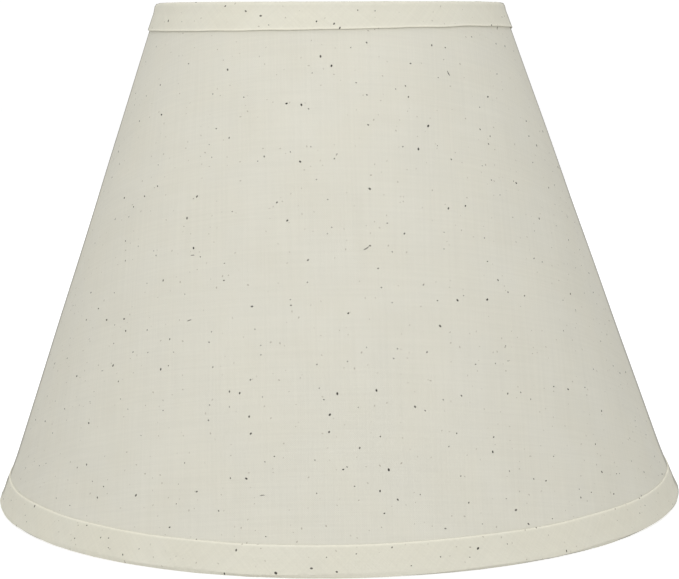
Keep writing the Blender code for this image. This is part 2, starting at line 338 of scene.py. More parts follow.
def rolled_sheet(name, depth, thickness):
    """One sheet of the panel, rolled into the cone with its outer end lapped over its inner one."""
    slant = panel_rows()[:, None]
    radius = FOOT_RADIUS - slant * LEAN_SINE
    hidden = -(LAP_WIDTH / radius) * np.linspace(1, 0, LAP_COLUMNS, endpoint=False)
    shown = 2 * math.pi * crowded(np.linspace(0, 1, PANEL_COLUMNS)) * np.ones_like(slant)
    angle = np.concatenate([hidden, shown], axis=1)
    slant = slant + tape_wander(angle, False) * bump_at(slant, BAND[False], WANDER_REACH)
    from_end = (2 * math.pi - angle) * radius
    points = wall(angle, slant, depth, lap_rise(from_end) + spring(angle, slant))
    # A painted highlight along the lap's raw edge, carried in the fold attribute.
    near_end = np.exp(-((from_end / RAW_EDGE) ** 2))
    piece = mesh_piece(name, points, grid_faces(*angle.shape), weave_place(angle, slant), near_end)
    thicken(piece, thickness, -1)
    return piece


# ---------------------------------------------------------------- the edging tapes

TAPE_CLOTH = 0.00032
TAPE_PROUD = 0.0010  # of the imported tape's face, over what it wraps
FOLD_CORE = {False: 0.0003, True: 0.0008}  # the radius that the tape turns on, at the foot and the top
BAND = {False: 0.0110, True: 0.0099}  # up the outside from the panel's edge, at the foot and the top
INNER_BAND = 0.0105  # up the inside from the panel's edge
LANDING = 0.0075  # up the inside, where the tape comes off the wire and lies on the styrene
HEM = 0.0062  # the width turned under on the outside
INNER_HEM = 0.0048
HEM_HEIGHT = 0.00019  # of a hem's middle, over the wall
FACE_HEIGHT = 0.00052  # of the face's middle, over the wall
EDGE_LIFT = {False: 0.0, True: 0.0001}  # how far the band's edge curls off the cloth, at the foot and the top
EDGE_LIFT_REACH = 0.0032
TAPE_COLUMNS = 740
HEM_POINTS = 7
FACE_POINTS = 40
TAPE_LAP = 0.013
TAPE_JOINT = {False: 0.16, True: 0.30}  # from the seam, in radians, at the foot and the top
TAPE_CLIMB = 2.4 * TAPE_CLOTH  # of the outer end, over the inner one
CLIMB_MARGIN = 0.001
CLIMB_RAMP = 0.004
ARM_GAP = 0.0004  # between an arm and the edge of its hole in the tape

# Drag wrinkles: creases on the face, and puckers on the inside. Each range is the lowest and highest value.
CREASES = {False: 210, True: 110}  # at the foot and the top
PUCKERS = {False: 110, True: 50}
CREASE_DEPTH = 0.00016
PUCKER_DEPTH = 0.00035
DEEPEST_PUCKER = 0.00005  # inwards, so the cloth stays clear of what it wraps
CREASE_FADE = 0.006  # past the band, where creases give way to puckers
CREASE_PLACES = (0.002, 0.012)  # from the tape's edge
CREASE_LENGTHS = (0.003, 0.008)
CREASE_WIDTHS = (0.0007, 0.0016)
CREASE_TILT = (0.9, 0.35)  # middle and spread, in radians either way from the tape's length

# How far the band's edge strays: amounts at one, two and more turns of the shade.
WANDER = {False: [0.0002, 0.00025, 0.0002, 0.0002, 0.00015], True: [0.0001, 0.0, 0.00008, 0.0001]}
FINE_WANDER = [0.0] * 9 + [0.000022] * 14
CROWN_SWING = 0.0009  # the top band's own slow swing, twice a turn

# The painted highlights along the cloth's folds and cut ends.
FOLD_PLACE = 0.0002  # from the tape's edge
FOLD_WIDTH = 0.00045
END_WIDTH = 0.0005

STRAIGHT_POINTS = 60
BEND_POINTS = 40
PATH_POINTS = 900
PATH_WINDOW = 41
LEVEL_POINTS = 600
LEVEL_WINDOW = 45


def softened(values, window):
    """Values averaged with their neighbours, over an odd number of them."""
    kernel = np.hanning(window) / np.hanning(window).sum()
    return np.convolve(np.pad(values, window // 2, mode="edge"), kernel, mode="valid")


def wrap_path(circles):
    """A taut line round circles (middle, radius), with middles as complex numbers depth + 1j * distance up.
    Returns lengths, points and outward normals, all closely spaced."""
    normals = []
    for (start, r1), (end, r2) in zip(circles, circles[1:]):
        along = (end - start) / abs(end - start)
        share = (r1 - r2) / abs(end - start)
        normals.append(along * complex(share, -math.sqrt(1 - share**2)))
    points, directions = [], []
    for index, normal in enumerate(normals):
        (start, r1), (end, r2) = circles[index], circles[index + 1]
        share = np.linspace(0, 1, STRAIGHT_POINTS)
        points.append((start + r1 * normal) * (1 - share) + (end + r2 * normal) * share)
        directions.append(np.full(STRAIGHT_POINTS, normal))
        if index + 1 < len(normals):
            turn = np.angle(normals[index + 1] / normal)
            bend = normal * np.exp(1j * turn * np.linspace(0, 1, BEND_POINTS))
            points.append(end + r2 * bend)
            directions.append(bend)
    points, directions = np.concatenate(points), np.concatenate(directions)
    length = np.concatenate([[0], np.cumsum(np.abs(np.diff(points)))]) + np.arange(len(points)) * 1e-9
    even = np.linspace(0, length[-1], PATH_POINTS)
    points, directions = (np.interp(even, length, x) for x in (points, directions))
    soft = softened(directions, PATH_WINDOW)
    return even, points, soft / np.abs(soft)


def on_path(path, length, height):
    """A point at a length along a wrap path and a height off it, as a complex number. It runs on straight past the
    path's ends."""
    lengths, points, normals = path
    inside = np.clip(length, 0, lengths[-1])
    normal = np.interp(inside, lengths, normals)
    beyond = length - inside
    return np.interp(inside, lengths, points) + height * normal + beyond * normal * 1j


def tape_path(at_top):
    """What a tape wraps: down the cloth to the panel's edge, round it and the wire, and along the inside."""
    ring_radius, ring_height, wire = ring_sizes("top_ring" if at_top else "bottom_ring")
    end, into = (TOTAL_HEIGHT, -1) if at_top else (0.0, 1)

    def circle(depth, height, radius):
        slant = up_side(depth, height)
        return complex(depth, SLANT - slant if at_top else slant), radius

    core = FOLD_CORE[at_top]
    return wrap_path(
        [
            (complex(0, BAND[at_top]), 0.0),
            circle(core, end + into * (TAPE_PROUD + core), core),
            circle(depth_in(ring_radius, ring_height), ring_height, wire),
            (complex(WALL, LANDING), 0.0),
            (complex(WALL, INNER_BAND), 0.0),
        ]
    )


def face_height(along, total, band):
    """How high the tape's face stands over what it wraps: up on its hems, and a little lower past them."""
    slack = TAPE_PROUD - TAPE_CLOTH / 2
    stations = [
        (0.0, FACE_HEIGHT),
        # The outside: the face sinks past the hem's raw edge and rises over the panel's edge.
        (HEM - 0.0008, FACE_HEIGHT),
        (HEM + 0.0012, FACE_HEIGHT - 0.00010),
        (band - 0.0012, FACE_HEIGHT + 0.00002),
        (band + 0.0012, slack),
        # The inside: it comes down off the wire, then climbs onto the other hem.
        (total - INNER_BAND + 0.0005, slack),
        (total - INNER_HEM - 0.001, FACE_HEIGHT - 0.00012),
        (total - INNER_HEM + 0.0008, FACE_HEIGHT),
        (total, FACE_HEIGHT),
    ]
    fine = np.linspace(0, total, LEVEL_POINTS)
    return np.interp(along, fine, softened(np.interp(fine, *zip(*stations)), LEVEL_WINDOW))


def tape_section(total, band):
    """The tape's section as (length along the wrap, height off it) from one turned-under raw edge to the other."""
    fold = (FACE_HEIGHT - HEM_HEIGHT) / 2
    turn = np.linspace(-math.pi / 2, math.pi / 2, HEM_POINTS)
    face = np.linspace(fold, total - fold, FACE_POINTS)
    near_hem = np.linspace(HEM, fold, HEM_POINTS, endpoint=False)
    far_hem = np.linspace(total - fold, total - INNER_HEM, HEM_POINTS)[1:]
    near_turn, far_turn = fold - fold * np.cos(turn), total - fold + fold * np.cos(turn)
    along = np.concatenate([near_hem, near_turn, face[1:-1], far_turn, far_hem])

    turn_up = (FACE_HEIGHT + HEM_HEIGHT) / 2 + fold * np.sin(turn)
    hem = np.full(HEM_POINTS, HEM_HEIGHT)
    height = face_height(face, total, band)
    off = np.concatenate([hem, turn_up, height[1:-1], turn_up[::-1], hem[1:]])
    return along, off


def creases(angle, along, radius, count, seed, depth):
    """Small drag wrinkles, mostly slanting, scattered round a tape."""
    picks = np.random.default_rng(seed)
    total = np.zeros(np.broadcast(angle, along).shape)
    for _ in range(count):
        where, across = picks.uniform(0, 2 * math.pi), picks.uniform(*CREASE_PLACES)
        tilt = picks.normal(*CREASE_TILT) * picks.choice([-1, 1])
        length, width = picks.uniform(*CREASE_LENGTHS), picks.uniform(*CREASE_WIDTHS)
        size = depth * picks.uniform(-0.6, 1.0)
        x = ((angle - where + math.pi) % (2 * math.pi) - math.pi) * radius
        y = along - across
        near, off = x * math.cos(tilt) + y * math.sin(tilt), y * math.cos(tilt) - x * math.sin(tilt)
        total += size * np.exp(-((near / length) ** 2) - (off / width) ** 2)
    return total


def tape_wander(angle, at_top):
    """How much farther than planned the band reaches over the cloth."""
    slow = wave(angle, WANDER[at_top], 11 if at_top else 12)
    if at_top:
        slow = slow - CROWN_SWING * np.sin(2 * (angle - math.pi))
    return slow + wave(angle, FINE_WANDER, 13 + at_top)


def spread_ring():
    """The top ring's sizes, with its radius as it sits in the spread crown."""
    radius, height, wire = ring_sizes("top_ring")
    return radius + CROWN_SPREAD * LEAN_COSINE, height, wire


def arm_lines():
    """For each spider arm, the point where its centreline meets the ring's, and its direction into the shade."""
    ring_radius, ring_height, _ = spread_ring()
    lines = []
    for turn in ARM_TURNS:
        out = np.array([math.cos(turn), math.sin(turn), 0.0])
        down = -out * math.cos(ARM_CLIMB) - np.array([0, 0, math.sin(ARM_CLIMB)])
        lines.append((out * ring_radius + np.array([0, 0, ring_height]), down))
    return lines


def open_for_arms(points, faces):
    """Drops the faces where the arms pass through and draws the edge of each hole round."""
    flat = points.reshape(-1, 3)
    reach = ARM_RADIUS + ARM_GAP
    keep = np.ones(len(faces), bool)
    for start, along in arm_lines():
        offset = flat - start
        ahead = offset @ along
        square = offset - ahead[:, None] * along
        distance = np.linalg.norm(square, axis=1)
        middle = distance[faces].mean(axis=1)
        hit = (middle < reach) & (ahead[faces].mean(axis=1) > 0)
        keep &= ~hit
        near = ~hit & (middle < 3 * reach)
        rim = np.intersect1d(faces[hit].ravel(), faces[near].ravel())
        rim = rim[distance[rim] > 0.3 * reach]
        flat[rim] += square[rim] * (reach / distance[rim] - 1)[:, None]
    return flat, faces[keep]


def edging_tape(name, at_top):
    """A strip of cloth with both raw edges turned under, wrapped round the panel's edge and the wire."""
    path = tape_path(at_top)
    total = path[0][-1]
    band = BAND[at_top]
    along, off = (x[:, None] for x in tape_section(total, band))
    radius = CROWN_RADIUS if at_top else FOOT_RADIUS
    start = TAPE_JOINT[at_top]
    lap = TAPE_LAP / radius
    angle = start + np.linspace(0, 2 * math.pi + lap, TAPE_COLUMNS)[None, :]

    # The outer end climbs over the inner one.
    from_end = (start + 2 * math.pi + lap - angle) * radius
    climb = TAPE_CLIMB * (1 - smooth_step((from_end - TAPE_LAP - CLIMB_MARGIN) / CLIMB_RAMP))
    seen = 1 - smooth_step((along - band) / CREASE_FADE)
    folds = creases(angle, along, radius, CREASES[at_top], 21 + at_top, CREASE_DEPTH)
    puckers = creases(angle, total - along, radius, PUCKERS[at_top], 31 + at_top, PUCKER_DEPTH)
    puckers = np.maximum(puckers, -DEEPEST_PUCKER)
    lift = EDGE_LIFT[at_top] * bump_at(along, 0, EDGE_LIFT_REACH)
    height = off + climb + folds * seen + puckers * (1 - seen) + lift
    place = on_path(path, along - tape_wander(angle, at_top), height)

    depth, distance = place.real, place.imag
    slant = SLANT - distance if at_top else distance
    outside = 1 - smooth_step(depth / WALL)
    points = wall(angle, slant, depth, outside * rise_over_lap(angle, radius))

    # The cloth is cut on the bias, so its threads cross the tape at half a right angle. The top tape is mapped 3 m
    # away, so that it shows other threads and flecks than the foot's.
    across = np.concatenate([[0], np.cumsum(np.hypot(np.diff(along[:, 0]), np.diff(off[:, 0])))])[:, None]
    length = angle * radius + 3 * at_top
    maps = np.stack([(length + across) / math.sqrt(2), (across - length) / math.sqrt(2)], axis=-1)
    # Painted highlights along both folded edges and along the tape's cut end.
    fold = np.exp(-((along - FOLD_PLACE) / FOLD_WIDTH) ** 2)
    fold = fold + np.exp(-((total - along - FOLD_PLACE) / FOLD_WIDTH) ** 2)
    fold = fold + np.exp(-((from_end / END_WIDTH) ** 2))

    faces = grid_faces(*np.broadcast(angle, along).shape)
    if at_top:
        points, faces = open_for_arms(points, faces)
    piece = mesh_piece(name, points, faces, maps, np.clip(fold, 0, 1))
    drop_loose(piece)
    thicken(piece, TAPE_CLOTH, 0)
    return piece, (float(across[-1, 0]), float((2 * math.pi + lap) * radius))


# ---------------------------------------------------------------- wire and washer

ARM_CLIMB = math.radians(45)
ARM_BEND = 0.005
ARM_TURNS = [math.radians(30 + 120 * i) for i in range(3)]
ARM_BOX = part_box("spider_arm_3")
ARM_RADIUS = (ARM_BOX[1].x - ARM_BOX[0].x) / 2
ARM_HEIGHT = ARM_BOX[0].z + ARM_RADIUS
ARM_INNER_END = -ARM_BOX[1].y
ARM_LEVEL_POINTS, ARM_BEND_POINTS, ARM_CLIMB_POINTS = 60, 22, 14
ARM_CROWDING = 1.8  # bunches the points up at the pressed end
ARM_SAG = 0.00025
ARM_SHORT = 0.2  # how far the tip stops short of the ring, in arm radii: a weld bead fills the gap
PRESSED_REACH = 0.004  # the arm's inner end is flattened onto the washer over this length
PRESSED_THINNER, PRESSED_WIDER = 0.16, 0.10
ROUNDED_REACH = 0.0009  # the cut end is rounded over this length
RING_STATIONS = 480
RING_JOINT = 0.35  # from the seam, in radians
COLLAR = 0.10  # how much thicker the wire is at its butt weld
COLLAR_REACH = 0.0011
WASHER_HOLE = 7 / 16 * INCH
WASHER_CURL = 0.0007  # the radius of its pressed edges
WASHER_CURL_POINTS = 7
WASHER_STEP = 0.0005  # between points across its flat faces
WASHER_SECTORS = 288
GROOVE_DEPTH = 0.0010
GROOVE_REACH = 0.0026
GROOVE_RAMP = 0.0012
GROOVE_BELOW = 0.35  # the share of the groove's depth that shows on the underside


def wire_ring(name):
    """A ring of wire with its ends butt-welded at the back, which leaves a slight collar. It follows the wall."""
    radius, height, wire = ring_sizes(name)
    depth = depth_in(radius, height)
    slant = up_side(depth, height)
    angle = np.linspace(0, 2 * math.pi, RING_STATIONS, endpoint=False)
    path = wall(angle, np.full_like(angle, slant), np.full_like(angle, depth))
    turned = (angle - RING_JOINT + math.pi) % (2 * math.pi) - math.pi
    collar = 1 + COLLAR * np.exp(-((turned * radius / COLLAR_REACH) ** 2))
    return tube(name + "_wire", path, (0, 0, 1), np.stack([wire * collar] * 2, axis=1), closed=True)


def arm_path(turn):
    """An arm's centreline: level out from the washer, a bend, a climb into the ring."""
    ring_radius, ring_height, wire = spread_ring()
    corner = ring_radius - (ring_height - ARM_HEIGHT) / math.tan(ARM_CLIMB)
    start = corner - ARM_BEND * math.tan(ARM_CLIMB / 2)
    bend = np.linspace(0, ARM_CLIMB, ARM_BEND_POINTS)
    bent = np.stack([start + ARM_BEND * np.sin(bend), ARM_HEIGHT + ARM_BEND * (1 - np.cos(bend))], axis=1)
    share = np.linspace(0, 1, ARM_LEVEL_POINTS, endpoint=False) ** ARM_CROWDING
    level = ARM_INNER_END + (start - ARM_INNER_END) * share
    level = np.stack([level, np.full(ARM_LEVEL_POINTS, ARM_HEIGHT)], axis=1)
    reach = wire + ARM_SHORT * ARM_RADIUS
    tip = np.array([ring_radius - reach * math.cos(ARM_CLIMB), ring_height - reach * math.sin(ARM_CLIMB)])
    climb = bent[-1] + (tip - bent[-1]) * np.linspace(0, 1, ARM_CLIMB_POINTS)[1:, None]
    route = np.concatenate([level, bent, climb])
    share = np.clip((route[:, 0] - ARM_INNER_END) / (corner - ARM_INNER_END), 0, 1)
    sag = ARM_SAG * np.sin(math.pi * share)
    out = np.array([math.cos(turn), math.sin(turn), 0])
    return route[:, :1] * out + (route[:, 1:] - sag[:, None]) * np.array([0, 0, 1])


def spider_arm(index, turn):
    """One wire of the spider: pressed flatter where it lies on the washer, with its cut end rounded off."""
    path = arm_path(turn)
    length = np.concatenate([[0], np.cumsum(np.linalg.norm(np.diff(path, axis=0), axis=1))])
    pressed = np.exp(-((length / PRESSED_REACH) ** 2))
    rounded = np.sqrt(np.clip(1 - (1 - np.clip(length / ROUNDED_REACH, 0, 1)) ** 2, 0.02, 1))
    across = ARM_RADIUS * (1 - PRESSED_THINNER * pressed) * rounded
    sideways = ARM_RADIUS * (1 + PRESSED_WIDER * pressed) * rounded
    side = (-math.sin(turn), math.cos(turn), 0)
    return tube(f"spider_wire_{index}", path, side, np.stack([across, sideways], axis=1))


def weld_bead(name, place, size, along, seed):
    """A small lump of weld metal, drawn out along a direction and uneven."""
    bm = bmesh.new()
    bmesh.ops.create_icosphere(bm, subdivisions=4, radius=1.0)
    turn = Vector(along).to_track_quat("X", "Z").to_matrix()
    for vert in bm.verts:
        lump = noise.noise(vert.co * 1.7 + Vector((seed * 7.3, 0, 0))) * 0.28
        lump += noise.noise(vert.co * 4.5 + Vector((0, seed * 3.1, 0))) * 0.10
        drawn = Vector((vert.co.x * size[0], vert.co.y * size[1], vert.co.z * size[2])) * (1 + lump)
        vert.co = Vector(skewed(np.array(Vector(place) + turn @ drawn)))
    mesh = bpy.data.meshes.new(name)
    bm.to_mesh(mesh)
    bm.free()
    mesh.shade_smooth()
    bead = bpy.data.objects.new(name, mesh)
    bpy.context.scene.collection.objects.link(bead)
    return bead


def washer():
    """The pressed washer: rounded edges, and a groove under each arm."""
    low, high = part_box("spider_washer")
    half, middle = (high.z - low.z) / 2, (high.z + low.z) / 2
    rim, hole = high.x - WASHER_CURL, WASHER_HOLE / 2 + WASHER_CURL
    top, bottom = middle + (half - WASHER_CURL), middle - (half - WASHER_CURL)
    # The centre of each rounded corner, and the half turns at which its quarter turn starts.
    corners = (rim, top, 0.5), (rim, bottom, 0.0), (hole, bottom, -0.5), (hole, top, 1.0)
    outline = []
    for radius, height, first in corners:
        for turn in np.linspace(first * math.pi, first * math.pi - math.pi / 2, WASHER_CURL_POINTS):
            outline.append((radius + WASHER_CURL * math.cos(turn), height + WASHER_CURL * math.sin(turn)))
    profile = []
    for (r1, z1), (r2, z2) in zip(outline, outline[1:] + outline[:1]):
        steps = max(1, round(math.hypot(r2 - r1, z2 - z1) / WASHER_STEP))
        profile += [(r1 + (r2 - r1) * i / steps, z1 + (z2 - z1) * i / steps) for i in range(steps)]
    profile = np.array(profile)[:, None, :]
    turn = np.linspace(0, 2 * math.pi, WASHER_SECTORS, endpoint=False)[None, :]
    x, y = profile[..., 0] * np.cos(turn), profile[..., 0] * np.sin(turn)
    z = profile[..., 1] + 0 * turn
    upper = smooth_step((z - middle) / half + 0.5)
    for arm in ARM_TURNS:
        out = x * math.cos(arm) + y * math.sin(arm)
        aside = -x * math.sin(arm) + y * math.cos(arm)
        inside = smooth_step((out - ARM_INNER_END + GROOVE_RAMP) / GROOVE_RAMP)
        felt = GROOVE_BELOW + (1 - GROOVE_BELOW) * upper
        z = z - GROOVE_DEPTH * bump_at(aside, 0, GROOVE_REACH) * inside * felt
    maps = np.stack([x, y], axis=-1)
    points = np.stack([x, y, z], axis=-1)
    piece = mesh_piece("washer_plate", points, grid_faces(len(profile), turn.size, True, True), maps)
    face_outwards(piece)
    return piece


# ---------------------------------------------------------------- materials


class Nodes:
    """A material's node tree, with short calls for the nodes used here. Values may be numbers or other nodes'
    outputs."""

    def __init__(self, name):
        self.material = bpy.data.materials.new(name)
        self.material.use_nodes = True
        self.tree = self.material.node_tree
        self.shader = self.tree.nodes["Principled BSDF"]

    def add(self, kind, inputs=None, **settings):
        node = self.tree.nodes.new(kind)
        for key, value in settings.items():
            setattr(node, key, value)
        for key, value in (inputs or {}).items():
            self.put(node.inputs[key], value)
        return node

    def put(self, socket, value):
        if isinstance(value, bpy.types.NodeSocket):
            self.tree.links.new(value, socket)
        else:
            socket.default_value = value

    def math(self, operation, a, b=0.0, c=0.0):
        node = self.add("ShaderNodeMath", operation=operation)
        for socket, value in zip(node.inputs, (a, b, c)):
            self.put(socket, value)
        return node.outputs[0]

    def vector(self, operation, a, b=(0, 0, 0), scale=None):
        node = self.add("ShaderNodeVectorMath", operation=operation)
        self.put(node.inputs[0], a)
        self.put(node.inputs[1], b)
        if scale is not None:
            self.put(node.inputs["Scale"], scale)
        return node.outputs[0]

    def range(self, value, low, high, to_low=0.0, to_high=1.0, smooth=True):
        inputs = {"Value": value, "From Min": low, "From Max": high, "To Min": to_low, "To Max": to_high}
        kind = "SMOOTHSTEP" if smooth else "LINEAR"
        return self.add("ShaderNodeMapRange", inputs, interpolation_type=kind).outputs[0]

    def mix(self, share, a, b):
        node = self.add("ShaderNodeMix", data_type="RGBA")
        self.put(node.inputs["Factor"], share)
        self.put(node.inputs["A"], a)
        self.put(node.inputs["B"], b)
        return node.outputs["Result"]

    def noise(self, vector, scale, detail=2.0, roughness=0.5):
        inputs = {"Vector": vector, "Scale": scale, "Detail": detail, "Roughness": roughness}
        return self.add("ShaderNodeTexNoise", inputs).outputs["Fac"]

    def set(self, **values):
        """Sets the shader's own inputs, named with _ for a space."""
        for key, value in values.items():
            self.put(self.shader.inputs[key.replace("_", " ")], value)

    def bump(self, height, distance, strength):
        node = self.add("ShaderNodeBump", {"Height": height, "Distance": distance, "Strength": strength})
        self.put(self.shader.inputs["Normal"], node.outputs["Normal"])


def stretched(nodes, place, across, along):
    """The cloth's coordinates, divided by a size each way."""
    return nodes.vector("MULTIPLY", place, (1 / across, 1 / along, 1))


def flecks(nodes, place, cell, share, sizes, length, offset, bend=0.0, palest=0.45):
    """A mask of scattered specks. Of cells of a size, a share hold a speck each, of random radius, turn and tone.
    Its length is in widths, its bend is the curvature of a fibre, and offset picks another scatter."""
    small, large = sizes
    cells = nodes.vector("ADD", nodes.vector("SCALE", place, scale=1 / cell), (offset, offset * 1.7, 0))
    voronoi = nodes.add("ShaderNodeTexVoronoi", {"Vector": cells, "Scale": 1.0}, voronoi_dimensions="2D")
    pick = nodes.add("ShaderNodeSeparateColor", {"Color": voronoi.outputs["Color"]}).outputs
    local = nodes.vector("SUBTRACT", cells, voronoi.outputs["Position"])
    angle = nodes.math("MULTIPLY", pick["Red"], 2 * math.pi)
    turned = nodes.add("ShaderNodeVectorRotate", {"Vector": local, "Angle": angle}, rotation_type="Z_AXIS")
    split = nodes.add("ShaderNodeSeparateXYZ", {"Vector": turned.outputs[0]}).outputs
    x = nodes.math("MULTIPLY", split["X"], cell / length)
    bow = nodes.math("MULTIPLY", nodes.math("MULTIPLY", split["X"], split["X"]), bend * cell)
    y = nodes.math("ADD", nodes.math("MULTIPLY", split["Y"], cell), nodes.math("MULTIPLY", bow, cell))
    distance = nodes.math("SQRT", nodes.math("ADD", nodes.math("MULTIPLY", x, x), nodes.math("MULTIPLY", y, y)))
    chance = nodes.math("DIVIDE", pick["Blue"], share)
    present = nodes.math("LESS_THAN", chance, 1.0)
    radius = nodes.range(nodes.math("POWER", chance, 2.0), 0.0, 1.0, small, large, smooth=False)
    rough = nodes.range(nodes.noise(place, 4000.0), 0.3, 0.7, -0.25 * small, 0.25 * small)
    ragged = nodes.math("ADD", distance, rough)
    body = nodes.range(nodes.math("DIVIDE", ragged, radius), 0.85, 1.15, 1.0, 0.0)
    tone = nodes.range(pick["Green"], 0, 1, palest, 1.0)
    return nodes.math("MULTIPLY", nodes.math("MULTIPLY", body, present), tone)


THREAD = 0.00038  # from one thread to the next
PAINTED_FOLD_HIGHLIGHT = 0.15  # how much paler the cloth is painted along a fold or a cut edge: a painted highlight
SPECK = (0.012, 0.010, 0.008, 1)
SUNK_SPECK = (0.22, 0.18, 0.13, 1)
RIM = (0.89, 0.96)  # how nearly edge-on the cloth is seen where its painted shade starts and ends, 1 being edge-on
PAINTED_RIM_SHADE = 0.50


def cloth(name, colour, speck_offset, bump):
    """Plain-weave muslin: crossing threads of uneven thickness, soft mottling, and dark specks of cotton seed."""
    nodes = Nodes(name)
    place = nodes.add("ShaderNodeUVMap", uv_map="weave").outputs["UV"]
    split = nodes.add("ShaderNodeSeparateXYZ", {"Vector": place}).outputs

    # The weave itself, with threads that stray a little.
    stray = nodes.range(nodes.noise(place, 120.0, 1.0), 0.2, 0.8, -1.3, 1.3)
    waves = [
        nodes.math("SINE", nodes.math("ADD", nodes.math("MULTIPLY", split[axis], math.pi / THREAD), stray))
        for axis in ("X", "Y")
    ]
    over = nodes.math("MULTIPLY", *waves)
    ribs = nodes.math("ADD", nodes.math("ABSOLUTE", waves[0]), nodes.math("ABSOLUTE", waves[1]))
    weave = nodes.math("ADD", nodes.math("MULTIPLY", over, 0.5), nodes.math("MULTIPLY", ribs, 0.5))

    # Thick and thin threads, each way, and cloudy patches.
    warp = nodes.noise(stretched(nodes, place, 0.0009, 0.055), 1.0, 3.0, 0.6)
    weft = nodes.noise(stretched(nodes, place, 0.045, 0.0011), 1.0, 3.0, 0.6)
    slubs = nodes.noise(stretched(nodes, place, 0.012, 0.0006), 1.0, 1.0)
    slub = nodes.range(slubs, 0.68, 0.80)
    cloud = nodes.noise(place, 38.0, 3.0)
    threads = nodes.math("ADD", nodes.range(warp, 0.3, 0.7, -1, 1), nodes.range(weft, 0.3, 0.7, -1, 1))
    level = nodes.math("MULTIPLY_ADD", threads, 0.014, 1.0)
    level = nodes.math("MULTIPLY_ADD", nodes.range(cloud, 0.3, 0.7, -1, 1), 0.010, level)
    level = nodes.math("MULTIPLY_ADD", nodes.range(weave, 0.0, 0.75, -1, 0.6, smooth=False), 0.045, level)
    level = nodes.math("MULTIPLY_ADD", slub, 0.020, level)
    # A painted highlight along folds and cut ends.
    fold = nodes.add("ShaderNodeAttribute", attribute_name="fold").outputs["Fac"]
    level = nodes.math("MULTIPLY_ADD", fold, PAINTED_FOLD_HIGHLIGHT, level)
    warm = nodes.noise(place, 45.0, 2.0)
    warmer = (colour[0], colour[1] * 0.995, colour[2] * 0.982, 1)
    base = nodes.mix(nodes.range(warm, 0.3, 0.7), (*colour, 1), warmer)
    base = nodes.vector("SCALE", base, scale=level)

    # Seed specks: dark ones, faint ones sunk in the weave, and a few short fibres.
    dark = flecks(nodes, place, 0.0078, 0.32, (0.00017, 0.00040), 1.5, speck_offset, palest=0.85)
    faint = flecks(nodes, place, 0.0048, 0.32, (0.00015, 0.00028), 1.7, speck_offset + 3.1)
    fibre = flecks(nodes, place, 0.0300, 0.09, (0.00018, 0.00026), 5.0, speck_offset + 7.7, bend=120.0, palest=0.7)
    base = nodes.mix(nodes.math("MULTIPLY", faint, 0.55), base, SUNK_SPECK)
    base = nodes.mix(nodes.math("MULTIPLY", dark, 0.96), base, SPECK)
    base = nodes.mix(nodes.math("MULTIPLY", fibre, 0.95), base, SPECK)

    # Painted shade: the cloth's colour is darkened where it is seen edge-on.
    grazing = nodes.add("ShaderNodeLayerWeight", {"Blend": 0.5}).outputs["Facing"]
    base = nodes.vector("SCALE", base, scale=nodes.range(grazing, *RIM, 1.0, PAINTED_RIM_SHADE))

    nodes.set(Base_Color=base, Roughness=nodes.range(weave, 0, 1, 0.92, 0.80), Specular_IOR_Level=0.16)
    height = nodes.math("MULTIPLY_ADD", threads, 0.35, weave)
    height = nodes.math("MULTIPLY_ADD", slub, 0.9, height)
    nodes.bump(height, bump, 0.6)
    return nodes.material


def styrene(name):
    """White sheet with a soft gloss, a faint haze of the adhesive behind it, and light scuffs."""
    nodes = Nodes(name)
    place = nodes.add("ShaderNodeUVMap", uv_map="weave").outputs["UV"]
    haze = nodes.noise(place, 60.0, 4.0, 0.6)
    peel = nodes.noise(place, 700.0, 2.0)
    scuff = nodes.range(nodes.noise(stretched(nodes, place, 0.0008, 0.03), 1.0, 4.0, 0.7), 0.62, 0.75)
    base = nodes.mix(nodes.range(haze, 0.3, 0.7), (0.86, 0.86, 0.84, 1), (0.83, 0.825, 0.79, 1))
    gloss = nodes.math("MULTIPLY_ADD", scuff, 0.16, nodes.range(haze, 0.3, 0.7, 0.34, 0.44))
    nodes.set(Base_Color=base, Roughness=gloss, Specular_IOR_Level=0.5, IOR=1.59)
    nodes.bump(nodes.math("MULTIPLY_ADD", haze, 1.5, peel), 0.00003, 0.5)
    return nodes.material


def plated_wire(name, colour, dull, rough):
    """Plated steel: fine drawing lines along the wire, with duller, rougher patches."""
    nodes = Nodes(name)
    place = nodes.add("ShaderNodeUVMap", uv_map="weave").outputs["UV"]
    lines = nodes.noise(stretched(nodes, place, 0.02, 0.0002), 1.0, 3.0, 0.6)
    patch = nodes.noise(place, 260.0, 4.0, 0.6)
    spot = nodes.range(patch, 0.45, 0.75)
    base = nodes.mix(spot, (*colour, 1), (*dull, 1))
    lined = nodes.range(lines, 0.3, 0.7, rough, rough + 0.10)
    nodes.set(Base_Color=base, Metallic=1.0, Roughness=nodes.math("MULTIPLY_ADD", spot, 0.16, lined))
    nodes.bump(lines, 0.00002, 0.5)
    return nodes.material


def weld_metal(name):
    """Weld metal under the plating: rough, dark in its dips, faintly straw-coloured."""
    nodes = Nodes(name)
    place = nodes.add("ShaderNodeTexCoord").outputs["Object"]
    grain = nodes.noise(place, 2600.0, 4.0, 0.65)
    tint = nodes.noise(place, 500.0, 2.0)
    base = nodes.mix(nodes.range(tint, 0.35, 0.65), (0.52, 0.40, 0.22, 1), (0.34, 0.28, 0.20, 1))
    nodes.set(Base_Color=base, Metallic=1.0, Roughness=nodes.range(grain, 0.3, 0.7, 0.32, 0.62))
    nodes.bump(grain, 0.00012, 0.8)
    return nodes.material


# ---------------------------------------------------------------- camera, floor and light

SENSOR, LENS = 36, 100.1  # in millimetres
CAMERA_PLACE = (-0.0029, -0.8521, 0.2001)
CAMERA_DOWN, CAMERA_ASIDE, CAMERA_ROLL = 0.12665, 0.0048, -0.01325  # in radians, from level and straight on

# Strengths of what glows evenly, as it lights the shade and as the camera sees it.
FLOOR_GLOW = (0.43, 0.70)
SURROUND_GLOW = (0.637, 1.02)

FLOOR_RADIUS = 6.0

